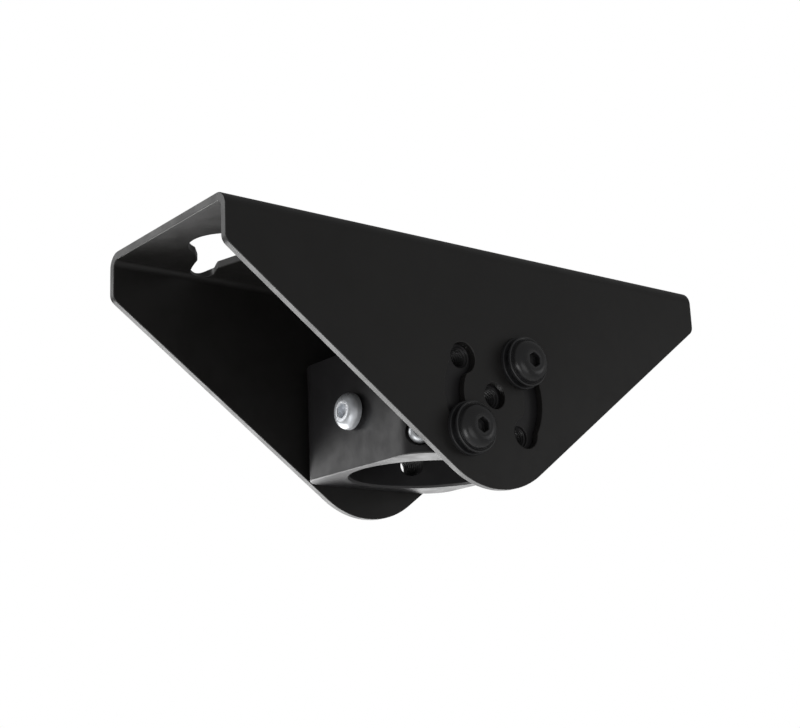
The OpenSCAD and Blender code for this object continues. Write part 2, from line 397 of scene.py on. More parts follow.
def regions(triangles: Array, cuts: Array, count: int) -> Array:
    """Number the regions that cut lines divide a triangulation into.

    Triangles that share an edge which no cut line runs along take the lower of their two
    numbers, over and over, until nothing changes.

    Args:
        triangles: Three point numbers in each row.
        cuts: Two point numbers of each cut line's edges.
        count: Number of points.

    Returns:
        A number for each triangle, the same throughout a region.
    """
    sides = np.sort(triangles[:, [0, 1, 1, 2, 2, 0]].reshape(-1, 2), axis=1)
    key = sides[:, 0] * count + sides[:, 1]
    cuts = np.sort(cuts, axis=1)
    order = np.argsort(key, kind="stable")
    owner = order // 3
    key = key[order]
    shared = (key[1:] == key[:-1]) & ~np.isin(key[1:], cuts[:, 0] * count + cuts[:, 1])
    one, other = owner[:-1][shared], owner[1:][shared]
    region = np.arange(len(triangles))
    while True:
        lowest = np.minimum(region[one], region[other])
        joined = region.copy()
        np.minimum.at(joined, one, lowest)
        np.minimum.at(joined, other, lowest)
        joined = joined[joined]
        if (joined == region).all():
            return region
        region = joined


@dataclass
class CeilingBracket:
    """The folded sheet: a flat web with two keyholes and two cheeks with curved slots.

    It is drawn as the flat blank that it is cut from, and then folded.
    """

    sheet_t: float = 3.0
    fold_r: float = 2.7
    end_h: float = 17.8
    end_corner_r: float = 4.0
    tip_r: float = 35.0
    pivot_drop: float = 58.2
    pivot_hole_d: float = 10.0
    slot_r: float = 19.4
    slot_w: float = 9.0
    slot_eye_d: float = 11.8
    tilt_screw_angle: float = 45.0
    tilt_range: float = 86.0
    slot_overrun: float = 3.0
    keyhole_r: float = 86.5
    keyhole_d: float = 30.0
    keyhole_turn: float = 1.7
    tail_w: float = 9.5
    throat_outer: float = 16.5
    throat_inner: float = 20.5
    throat_inset: float = 1.5
    front_tail_margin: float = 1.9
    rear_tail_margin: float = 4.2
    edge_r: float = 0.34
    throat_steps: int = 120
    steepest: float = 0.99
    fold_margin: float = 0.5
    rim_step: float = 6.0
    fold_rows: int = 10
    web_columns: int = 116

    def __post_init__(self) -> None:
        """Take the overall sizes from the frame and work out where the folds lie."""
        low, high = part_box("ceiling_bracket")
        self.length = (high.x - low.x) / MM
        self.width = (high.y - low.y) / MM
        self.outer_r = self.fold_r + self.sheet_t
        self.mid_r = self.fold_r + self.sheet_t / 2
        self.fold_start = self.width / 2 - self.outer_r
        self.fold_end = self.fold_start + self.mid_r * math.pi / 2
        self.pivot_v = self.fold_end + self.pivot_drop - self.outer_r
        self.slot_low = self.tilt_screw_angle - self.tilt_range
        self.slot_high = self.tilt_screw_angle + self.slot_overrun

    def folded(self, flat: Array, height: Array, normals: Array) -> tuple[Array, Array]:
        """Fold points of the blank into place.

        Across the web a point keeps its place. Past the start of the fold it goes round an
        arc whose angle is its distance over the middle radius, and past the arc it goes
        straight down the cheek.

        Args:
            flat: Place on the blank, along and across.
            height: Height over the outer face, zero or below.
            normals: Normal of each point on the blank.

        Returns:
            Folded points and normals.
        """
        side = np.where(flat[:, 1] < 0, -1.0, 1.0)
        across = np.abs(flat[:, 1])
        turn = np.clip((across - self.fold_start) / self.mid_r, 0, math.pi / 2)
        down = np.maximum(across - self.fold_end, 0)
        radius = self.outer_r + height
        sine, cosine = np.sin(turn), np.cos(turn)
        y = side * (np.minimum(across, self.fold_start) + radius * sine)
        z = radius * cosine - self.outer_r - down
        out = np.stack(
            [
                normals[:, 0],
                normals[:, 1] * cosine + normals[:, 2] * side * sine,
                normals[:, 2] * cosine - normals[:, 1] * side * sine,
            ],
            axis=1,
        )
        return np.stack([flat[:, 0], y, z], axis=1), out

    def on_cheek(self, points: Array, side: int) -> Array:
        """Lay points given about the tilt axis onto a cheek of the blank.

        Args:
            points: Distance along and height over the tilt axis.
            side: -1 for the near cheek, 1 for the far one.

        Returns:
            Points on the blank, counter-clockwise where the given ones were.
        """
        laid = np.stack([points[:, 0], side * (self.pivot_v - points[:, 1])], axis=1)
        return laid[::-1] if side > 0 else laid

    def outer_line(self) -> Array:
        """Outer edge of the blank, from its end corners and round tips.

        Returns:
            The edge's points, counter-clockwise.
        """
        corner = np.array([self.length / 2, self.pivot_drop - self.end_h])
        reach = np.linalg.norm(corner)
        lean = math.atan2(corner[1], corner[0]) - math.acos(self.tip_r / reach)
        slope = unit(self.tip_r * np.array([math.cos(lean), math.sin(lean)]) - corner)
        run = self.end_corner_r / math.tan((math.pi / 2 - math.asin(slope[1])) / 2)
        middle = (corner[0] - self.end_corner_r, corner[1] + run)
        right = arc(middle, self.end_corner_r, 0, math.degrees(lean))
        tip = arc((0, 0), self.tip_r, math.degrees(lean), -180 - math.degrees(lean))
        left = right[::-1] * [-1, 1]
        half = np.vstack([right, tip, left])
        near = self.on_cheek(half[::-1], -1)
        far = self.on_cheek(half[::-1], 1)
        return np.vstack([near, far])

    def slot_line(self) -> Array:
        """Edge of one curved slot about the tilt axis, with its eye.

        Returns:
            The edge's points, counter-clockwise.
        """
        inner, outer = self.slot_r - self.slot_w / 2, self.slot_r + self.slot_w / 2
        eye_r = self.slot_eye_d / 2

        def meeting(radius: float) -> float:
            """Angle from the eye's middle to where its circle meets a radius."""
            top = self.slot_r**2 + radius**2 - eye_r**2
            return math.degrees(math.acos(top / (2 * self.slot_r * radius)))

        eye = polar(self.slot_r, self.slot_low)
        first, last = self.slot_low + meeting(outer), self.slot_low + meeting(inner)
        ends = [polar(inner, last) - eye, polar(outer, first) - eye]
        begin, stop = (math.degrees(math.atan2(e[1], e[0])) for e in ends)
        stop += 360 if stop < begin else 0
        cap = polar(self.slot_r, self.slot_high)
        return np.vstack([
            arc((0, 0), outer, first, self.slot_high),
            arc(tuple(cap), self.slot_w / 2, self.slot_high, self.slot_high + 180),
            arc((0, 0), inner, self.slot_high, last),
            arc(tuple(eye), eye_r, begin, stop),
        ])

    def keyhole_line(self, margin: float) -> Array:
        """Edge of a keyhole at the rear end, counter-clockwise: round entry, throat and tail.

        Args:
            margin: Metal left between the tail's end and the cheek's outer face.

        Returns:
            The line's points on the web.
        """
        entry_r, half = self.keyhole_d / 2, self.tail_w / 2
        tail_end = math.degrees(math.asin((self.width / 2 - margin - half) / self.keyhole_r))
        entry = polar(self.keyhole_r, -self.keyhole_turn)
        corners = {
            1: polar(self.keyhole_r + half - self.throat_inset, -self.throat_outer),
            -1: polar(self.keyhole_r - half + self.throat_inset, -self.throat_inner),
        }
        run = unit((corners[1] + corners[-1]) / 2 - entry)
        across = np.array([-run[1], run[0]])
        leave, sides, bearing = {}, {}, {}
        for side, end in corners.items():
            start = entry + side * across * entry_r
            line = end - start
            # The line may run inside the entry's circle first, and counts from where it leaves it
            share = max(-2 * np.dot(start - entry, line) / np.dot(line, line), 0.0)
            leave[side] = start + share * line - entry
            points = start + np.linspace(share, 1, self.throat_steps)[:, None] * line
            past = side * (np.linalg.norm(points, axis=1) - self.keyhole_r) > half
            sides[side] = points[past]
            bearing[side] = math.degrees(math.atan2(sides[side][-1][1], sides[side][-1][0]))
        begin, stop = (math.degrees(math.atan2(leave[s][1], leave[s][0])) for s in (1, -1))
        stop += 360 if stop < begin else 0
        cap = polar(self.keyhole_r, -tail_end)
        return np.vstack([
            arc(tuple(entry), entry_r, begin, stop),
            sides[-1],
            arc((0, 0), self.keyhole_r - half, bearing[-1], -tail_end),
            arc(tuple(cap), half, 180 - tail_end, 360 - tail_end),
            arc((0, 0), self.keyhole_r + half, -tail_end, bearing[1]),
            sides[1][::-1],
        ])

    def on_web(self, points: Array) -> Array:
        """Lay points of the web onto the blank, where a fold begins to take them round.

        A point past the start of the fold goes to the middle radius times the arc sine of
        its distance past it over the outer radius.

        Args:
            points: Points in plan.

        Returns:
            Points on the blank.
        """
        across = np.abs(points[:, 1])
        past = np.clip((across - self.fold_start) / self.outer_r, 0, self.steepest)
        laid = np.where(past > 0, self.fold_start + self.mid_r * np.arcsin(past), across)
        return np.stack([points[:, 0], np.sign(points[:, 1]) * laid], axis=1)

    def build(self) -> bpy.types.Object:
        """Cut the blank, round its edges, fold it and weld it.

        Returns:
            The bracket's mesh object.
        """
        fine = np.array([self.fold_start - self.fold_margin, self.fold_end + self.fold_margin])
        outer = Outline.cut(self.outer_line(), False, max_step=self.rim_step, fine=fine)
        holes = []
        circle = arc((0, 0), self.pivot_hole_d / 2, 0, 360)[:-1]
        for side in (-1, 1):
            holes.append(Outline.cut(self.on_cheek(circle, side), True))
            for half in (-1, 1):
                holes.append(Outline.cut(self.on_cheek(self.slot_line() * half, side), True))
        for half, margin in ((1, self.rear_tail_margin), (-1, self.front_tail_margin)):
            holes.append(Outline.cut(self.on_web(self.keyhole_line(margin) * half), True, fine=fine))
        rows = np.linspace(self.fold_start, self.fold_end, self.fold_rows)
        columns = np.linspace(-self.length / 2, self.length / 2, self.web_columns)[1:-1]
        inner = np.array([[x, side * row] for side in (-1, 1) for row in rows for x in columns])
        solid = Solid()
        flat, triangles = fill(outer.inset(self.edge_r), [h.inset(self.edge_r) for h in holes], inner)
        for height, up in ((0.0, 1.0), (-self.sheet_t, -1.0)):
            normals = np.tile([0.0, 0.0, up], (len(flat), 1))
            solid.patch(*self.folded(flat, np.full(len(flat), height), normals), triangles)
        section, lean = rounded_edge(self.sheet_t, self.edge_r)
        # Painted highlight and wear: the rounded arrises of every cut edge take the lighter edge colour.
        exposed = np.sin(np.linspace(0, 2 * math.pi, len(section))) ** 2
        for line in (outer, *holes):
            rows, columns = len(line.points), len(section)
            flat = line.points[:, None] + line.away[:, None] * section[:, 0, None]
            normals = leaning(line.away, lean[:, 0], lean[:, 1])
            height = np.broadcast_to(section[:, 1], (rows, columns)).ravel()
            points, out = self.folded(flat.reshape(-1, 2), height, normals.reshape(-1, 3))
            solid.grid(points.reshape(rows, columns, 3), out.reshape(rows, columns, 3), wear=exposed)
        return solid.build("bracket_sheet")


@dataclass
class Skin:
    """An upright wall unrolled onto its own length, with the height as the other direction."""

    run: Array
    place: Array
    normal: Array

    @classmethod
    def along(cls, place: Array, normal: Array) -> "Skin":
        """Measure the length along a wall's plan line.

        Args:
            place: Dense points of the plan line, the last one equal to the first.
            normal: Outward normal at each of them.

        Returns:
            The wall.
        """
        steps = np.linalg.norm(np.diff(place, axis=0), axis=1)
        return cls(np.concatenate([[0], np.cumsum(steps)]), place, normal)

    def at(self, run: Array) -> tuple[Array, Array]:
        """Look up the wall's plan line.

        Args:
            run: Lengths along the wall.

        Returns:
            Places and unit normals in plan.
        """
        place = np.stack([np.interp(run, self.run, self.place[:, k]) for k in (0, 1)], axis=-1)
        normal = np.stack([np.interp(run, self.run, self.normal[:, k]) for k in (0, 1)], axis=-1)
        return place, unit(normal)

    def struck(self, start: Array, ahead: Array, sideways: Array) -> tuple[Array, Array]:
        """Find where parallel lines meet the wall.

        Args:
            start: A point of the middle line in plan.
            ahead: Direction of the lines in plan.
            sideways: How far to the side of the middle line each line runs.

        Returns:
            Length along the wall and distance ahead of start, for each line.
        """
        side = np.array([-ahead[1], ahead[0]])
        offset, distance = (self.place - start) @ side, (self.place - start) @ ahead
        facing = np.abs(self.normal @ ahead) > LEAST_FACING
        reach = np.abs(sideways).max() + SIDE_MARGIN
        near = (distance > 0) & facing & (np.abs(offset) < reach)
        order = np.argsort(offset[near])
        along = offset[near][order]
        return (np.interp(sideways, along, values[near][order]) for values in (self.run, distance))


def thread_wave(height: Array, pitch: float, turns: Array, gain: float, loss: float) -> Array:
    """Depth of a thread as a share of its full depth.

    A triangle wave follows the height over the pitch less the bearing's share of a turn. It
    is multiplied by the gain, less the loss, and cut off at 0 and 1 for crest and root.

    Args:
        height: Height of each point along the thread.
        pitch: Pitch of the thread.
        turns: Bearing of each point in radians.
        gain: Steepness of the flanks.
        loss: Width of the crest.

    Returns:
        The share at each point.
    """
    wave = np.abs((height / pitch - turns / (2 * math.pi)) % 1 - 0.5) * 2
    return np.clip(gain * wave - loss, 0, 1)


def band(radius: Array, middle: float, reach: float) -> Array:
    """Exposure that is 1 at a middle radius and falls evenly to 0 at a reach from it; it sets wear and a
    painted rim highlight.
    """
    return np.clip(1 - np.abs(radius - middle) / reach, 0, 1)


@dataclass
class Boring:
    """A hole that runs level through the collar's wall, with its thread or its pocket."""

    start: tuple[float, float]
    bearing: float
    height: float
    radius: float
    thread_pitch: float = 0.0
    pocket_r: float = 0.0
    pocket_floor: float = 0.0

    def axes(self) -> tuple[Array, Array, Array]:
        """Start, direction ahead and direction to the side, in plan."""
        ahead = polar(1.0, self.bearing)
        return np.array(self.start), ahead, np.array([-ahead[1], ahead[0]])


@dataclass
class PoleCollar:
    """The block that grips the pole: rounded-square outside, round bore and tapped holes."""

    corner_r: float = 11.0
    bore_r: float = 30.3
    mouth_chamfer: float = 0.8
    edge_r: float = 0.6
    hole_edge_r: float = 0.3
    tap_r: float = 4.1
    tap_pitch: float = 1.25
    thread_depth: float = 0.62
    screw_circle_r: float = 19.4
    lock_tap_r: float = 2.6
    lock_drop: float = 14.8
    clamp_drop: float = 1.6
    pocket_r: float = 5.3
    pocket_depth: float = 4.2
    rounds: int = 48
    thread_steps: int = 90
    thread_fade: float = 12.0
    flank_gain: float = 1.3
    crest_loss: float = 0.1
    # Lighter edge colour on threads and on the bore's mouths: wear and a painted highlight.
    thread_wear_and_sheen: float = 0.3
    mouth_wear_and_sheen: float = 0.6
    plan_step: float = 0.2
    wall_steps: int = 160
    wall_rows: int = 9
    hole_edge_steps: int = 5
    edge_steps: int = 6
    bend_steps: int = 4

    def __post_init__(self) -> None:
        """Take the block's place and size from the frame."""
        low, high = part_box("pole_collar")
        self.half_l = (high.x - low.x) / MM / 2
        self.half_w = (high.y - low.y) / MM / 2
        self.half_h = (high.z - low.z) / MM / 2
        self.middle_z = (high.z + low.z) / MM / 2
        self.tap = self.screw_circle_r * math.sqrt(0.5)
        middle = np.array([self.half_l, self.half_w]) - self.corner_r * (1 - math.sqrt(0.5))
        self.lock_bearing = 180 + math.degrees(math.atan2(middle[1], middle[0]))
        self.pocket_floor = float(np.linalg.norm(middle)) - self.pocket_depth
        self.turns = np.linspace(0, 2 * math.pi, self.rounds, endpoint=False)[:, None]

    def outside(self) -> Skin:
        """Outer wall in plan, from the middle of the rear near corner.

        Returns:
            The wall, counter-clockwise.
        """
        ends = np.array([self.half_l, self.half_w]) - self.corner_r
        starts = (((1, -1), -90), ((1, 1), 0), ((-1, 1), 90), ((-1, -1), 180))
        quarter = [arc(tuple(ends * sign), self.corner_r, turn, turn + 90) for sign, turn in starts]
        cut = len(quarter[0]) // 2
        rough = np.vstack([quarter[0][cut:], *quarter[1:], quarter[0][: cut + 1]])
        lengths = np.concatenate([[0], np.cumsum(np.linalg.norm(np.diff(rough, axis=0), axis=1))])
        at = np.unique(np.concatenate([lengths, np.arange(0, lengths[-1], self.plan_step)]))
        place = np.stack([np.interp(at, lengths, rough[:, k]) for k in (0, 1)], axis=1)
        nearest = np.clip(place, -ends, ends)
        return Skin.along(place, unit(place - nearest))

    def inside_wall(self) -> Skin:
        """Bore's wall in plan, from the bearing where the outer wall's seam lies."""
        place = arc((0, 0), self.bore_r, -45, 315)
        return Skin.along(place, -unit(place))

    def borings(self) -> list[Boring]:
        """Every level hole: five in each side, one in each end and one in a corner.

        Returns:
            The holes, sides first.
        """
        made = []
        for bearing in (-90, 90):
            for x in (-1, 0, 1):
                for z in ((0,) if x == 0 else (-1, 1)):
                    empty = x * z <= 0
                    made.append(Boring((x * self.tap, 0), bearing, z * self.tap, self.tap_r,
                                       self.tap_pitch if empty else 0.0))
        made += [Boring((0, 0), bearing, -self.clamp_drop, self.tap_r) for bearing in (0, 180)]
        made.append(Boring((0, 0), self.lock_bearing, -self.lock_drop, self.lock_tap_r,
                           pocket_r=self.pocket_r, pocket_floor=self.pocket_floor))
        return made

    def placed(self, boring: Boring, radius: Array, reach: float | Array) -> Array:
        """Rings of a hole at given radii.

        Args:
            boring: The hole.
            radius: Radius of each ring.
            reach: How far ahead of the hole's start each ring or each point lies.

        Returns:
            The rings as a grid of points.
        """
        start, ahead, side = boring.axes()
        sideways = radius * np.cos(self.turns)
        up = radius * np.sin(self.turns)
        plan = start + side * sideways[..., None] + ahead * np.asarray(reach)[..., None]
        height = self.middle_z + boring.height + up
        return np.concatenate([plan, height[..., None]], axis=2)

    def rings(
        self, boring: Boring, skin: Skin, radius: Array, back: Array
    ) -> tuple[Array, Array, Array]:
        """Rings of a hole that follow a wall.

        Args:
            boring: The hole.
            skin: The wall that the rings follow.
            radius: Radius of each ring.
            back: How far each ring lies behind the wall, towards the pole.

        Returns:
            The rings as a grid of points, and the length along the wall and the height of
            the first ring's points.
        """
        start, ahead, _ = boring.axes()
        run, distance = skin.struck(start, ahead, radius * np.cos(self.turns))
        made = self.placed(boring, radius, distance - back)
        return made, run[:, 0], made[:, 0, 2]

    def wall_of(self, boring: Boring, outer: Skin, inner: Skin, solid: Solid) -> tuple[Array, Array]:
        """Add the surfaces of one hole and find its outline on both walls.

        The mouths are quarter rounds. A thread's radius follows a triangle wave of the depth
        over the pitch less the bearing's share of a turn.

        Args:
            boring: The hole.
            outer: The collar's outer wall.
            inner: The bore's wall.
            solid: Gathers the surfaces.

        Returns:
            The outlines on the outer wall and on the bore's wall.
        """
        lean = np.linspace(0, math.pi / 2, self.hole_edge_steps)
        wide, deep = self.hole_edge_r * (1 - np.sin(lean)), self.hole_edge_r * (1 - np.cos(lean))
        mouth_r = boring.pocket_r or boring.radius
        mouth, run, height = self.rings(boring, outer, mouth_r + wide, deep)
        exit_rings, exit_run, exit_height = self.rings(boring, inner, boring.radius + wide, -deep)
        # Painted highlight and wear on the rounded mouth of each hole.
        solid.grid(mouth, wear=np.sin(2 * lean))
        solid.grid(exit_rings, flip=True)
        above = mouth[:, -1]
        if boring.pocket_r:
            floor_r = np.array([boring.pocket_r, boring.pocket_r, boring.radius + self.hole_edge_r])
            level = self.placed(boring, floor_r, boring.pocket_floor)
            solid.grid(np.stack([above, level[:, 0]], axis=1))
            solid.grid(level[:, 1:])
            lip = self.placed(boring, boring.radius + wide, boring.pocket_floor - deep)
            solid.grid(lip)
            above = lip[:, -1]
        below = exit_rings[:, -1]
        if boring.thread_pitch:
            _, ahead, side = boring.axes()
            share = np.linspace(0, 1, self.thread_steps)
            line = above[:, None] * (1 - share)[:, None] + below[:, None] * share[:, None]
            depth = (above[:, None] - line)[..., :2] @ ahead
            wave = thread_wave(depth, boring.thread_pitch, self.turns, self.flank_gain, self.crest_loss)
            fade = np.minimum(1, np.minimum(share, 1 - share) * self.thread_fade)
            cutting = self.thread_depth * wave * fade
            axis = np.concatenate([side * np.cos(self.turns), np.sin(self.turns)], axis=1)
            solid.grid(line - axis[:, None] * cutting[..., None], wear=self.thread_wear_and_sheen)
        else:
            solid.grid(np.stack([above, below], axis=1))
        return np.stack([run, height], axis=1), np.stack([exit_run, exit_height], axis=1)

    def cover(
        self, skin: Skin, holes: list[Array], low: float, high: float, at: Array, solid: Solid
    ) -> None:
        """Cover a wall between its holes.

        Args:
            skin: The wall.
            holes: Outlines of the holes on it.
            low: Its lowest height.
            high: Its highest height.
            at: Lengths along the wall at which its top and bottom edges have points.
            solid: Gathers the surface.
        """
        heights = np.linspace(low, high, self.wall_rows)[1:-1]
        length = skin.run[-1]
        loop = np.vstack([
            np.stack([at, np.full(len(at), low)], axis=1),
            np.stack([np.full(len(heights), length), heights], axis=1),
            np.stack([at[::-1], np.full(len(at), high)], axis=1),
            np.stack([np.zeros(len(heights)), heights[::-1]], axis=1),
        ])
        grid_x, grid_y = np.meshgrid(at[1:-1], heights)
        flat, triangles = fill(loop, holes, np.stack([grid_x.ravel(), grid_y.ravel()], axis=1))
        place, normal = skin.at(flat[:, 0])
        points = np.concatenate([place, flat[:, 1:]], axis=1)
        solid.patch(points, np.concatenate([normal, np.zeros((len(flat), 1))], axis=1), triangles)

    def build(self) -> bpy.types.Object:
        """Make the collar's walls, ends, mouths and holes, and weld them.

        Returns:
            The collar's mesh object.
        """
        solid = Solid()
        outer, inner = self.outside(), self.inside_wall()
        pairs = [self.wall_of(b, outer, inner, solid) for b in self.borings()]
        low, high = self.middle_z - self.half_h, self.middle_z + self.half_h
        count = self.wall_steps
        at = np.linspace(0, outer.run[-1], count + 1)
        bore_at = np.linspace(0, inner.run[-1], count + 1)
        self.cover(outer, [p[0] for p in pairs], low + self.edge_r, high - self.edge_r, at, solid)
        reach = self.mouth_chamfer + self.hole_edge_r
        self.cover(inner, [p[1][::-1] for p in pairs], low + reach, high - reach, bore_at, solid)
        lean = np.linspace(0, math.pi / 2, self.edge_steps)
        place, normal = outer.at(at[:-1])
        bore_place, bore_normal = inner.at(bore_at[:-1])
        for end, face in ((1, high), (-1, low)):
            wide, tall = self.edge_r * (np.cos(lean) - 1), self.edge_r * (np.sin(lean) - 1)
            plan = place[:, None] + normal[:, None] * wide[:, None]
            height = np.broadcast_to(face + end * tall, plan.shape[:2])
            out = leaning(normal, np.cos(lean), end * np.sin(lean))
            # Painted highlight and wear on the rounded top and bottom edges.
            solid.grid(np.concatenate([plan, height[..., None]], axis=2), out, wear=np.sin(2 * lean))
            rim = np.concatenate([plan[:, -1], height[:, -1:]], axis=1)
            # Mouth: the flat face, a 45 degree chamfer and the bore's wall, with rounds between
            bend = np.linspace(0, math.pi / 4, self.bend_steps)
            soft = self.hole_edge_r / math.tan(math.radians(BEND_HALF_ANGLE))
            radius = np.concatenate([
                self.mouth_chamfer + soft - self.hole_edge_r * np.sin(bend),
                self.hole_edge_r * (1 - np.cos(bend[::-1])),
            ])
            drop = np.concatenate([
                self.hole_edge_r * (1 - np.cos(bend)),
                self.mouth_chamfer + soft - self.hole_edge_r * np.sin(bend[::-1]),
            ])
            tilt = np.concatenate([bend, math.pi / 2 - bend[::-1]])
            plan = bore_place[:, None] * (1 + radius / self.bore_r)[:, None]
            height = np.broadcast_to(face - end * drop, plan.shape[:2])
            out = leaning(bore_normal, np.sin(tilt), end * np.cos(tilt))
            mouth = np.concatenate([plan, height[..., None]], axis=2)
            # Painted highlight and wear on the bore's chamfered mouths.
            solid.grid(mouth, out, wear=self.mouth_wear_and_sheen)
            wall = np.concatenate([bore_place, np.full((count, 1), face - end * reach)], axis=1)
            inward = np.concatenate([bore_normal, np.zeros((count, 1))], axis=1)
            solid.grid(np.stack([mouth[:, -1], wall], axis=1), np.stack([inward, inward], axis=1))
            flat_normal = np.tile([0.0, 0.0, float(end)], (count, 2, 1))
            solid.grid(np.stack([rim, mouth[:, 0]], axis=1), flat_normal)
        return solid.build("collar_block")


class Slot(Enum):
    """The record's material slots."""

    BRACKET = "bracket_powder_coat"
    COLLAR = "collar_powder_coat"
    BLACK_WASHER = "black_washer"
    ZINC_WASHER = "zinc_washer"
    BLACK_SCREW = "black_screw"
    ZINC_SCREW = "zinc_screw"


def filleted(corners: list[tuple], reach: list[float] | tuple[float, ...], steps: int = 5) -> Array:
    """Round the corners of a line.

    Near each inner corner the line follows a quadratic curve: a blend of the point one
    reach before, the corner itself and the point one reach after, with weights (1 - t)
    squared, 2t(1 - t) and t squared.

    Args:
        corners: Corners of the line.
        reach: Reach of the curve at each corner, zero for a point to pass through.
        steps: Steps in each curve.

    Returns:
        Points of the rounded line.
    """
    line = np.array(corners, float)
    share = np.linspace(0, 1, steps + 1)[:, None]
    made = [line[:1]]
    for before, corner, after, size in zip(line, line[1:], line[2:], reach[1:]):
        if size == 0:
            made.append(corner[None])
            continue
        start, end = corner + unit(before - corner) * size, corner + unit(after - corner) * size
        made.append((1 - share) ** 2 * start + 2 * share * (1 - share) * corner + share**2 * end)
    made.append(line[-1:])
    return np.vstack(made)


@dataclass
class Seat:
    """Where a turned piece sits: a point on its axis and the direction that it faces."""

    point: Array
    axis: Array

    def frame(self) -> tuple[Array, Array, Array]:
        """Directions of the seat.

        Returns:
            Two directions across the axis and the axis, right-handed.
        """
        up = np.array([0.0, 0.0, 1.0])
        side = unit(np.cross(up, self.axis))
        return side, np.cross(self.axis, side), self.axis

    def ring(self, turns: Array) -> Array:
        """Directions across the axis at bearings in radians."""
        side, across, _ = self.frame()
        return np.cos(turns)[..., None] * side + np.sin(turns)[..., None] * across

    def revolve(self, profile: Array, turns: Array) -> Array:
        """Carry a section round the axis.

        A ring's radius is the section's radius, stretched at the corners towards a hexagon
        by the section's third value: the reciprocal cosine of the bearing from the nearest
        flat.

        Args:
            profile: Radius, height and hexagon share of each ring.
            turns: Bearings of the points in a ring, in radians.

        Returns:
            Grid of points, bearings first.
        """
        sixth = math.pi / 3
        flat = (turns + sixth / 2) % sixth - sixth / 2
        stretch = np.minimum(1 / np.cos(flat), CORNER_STRETCH) - 1
        radius = profile[:, 0] * (1 + stretch[:, None] * profile[:, 2])
        return self.point + self.ring(turns)[:, None] * radius[..., None] + self.axis * profile[:, 1, None]


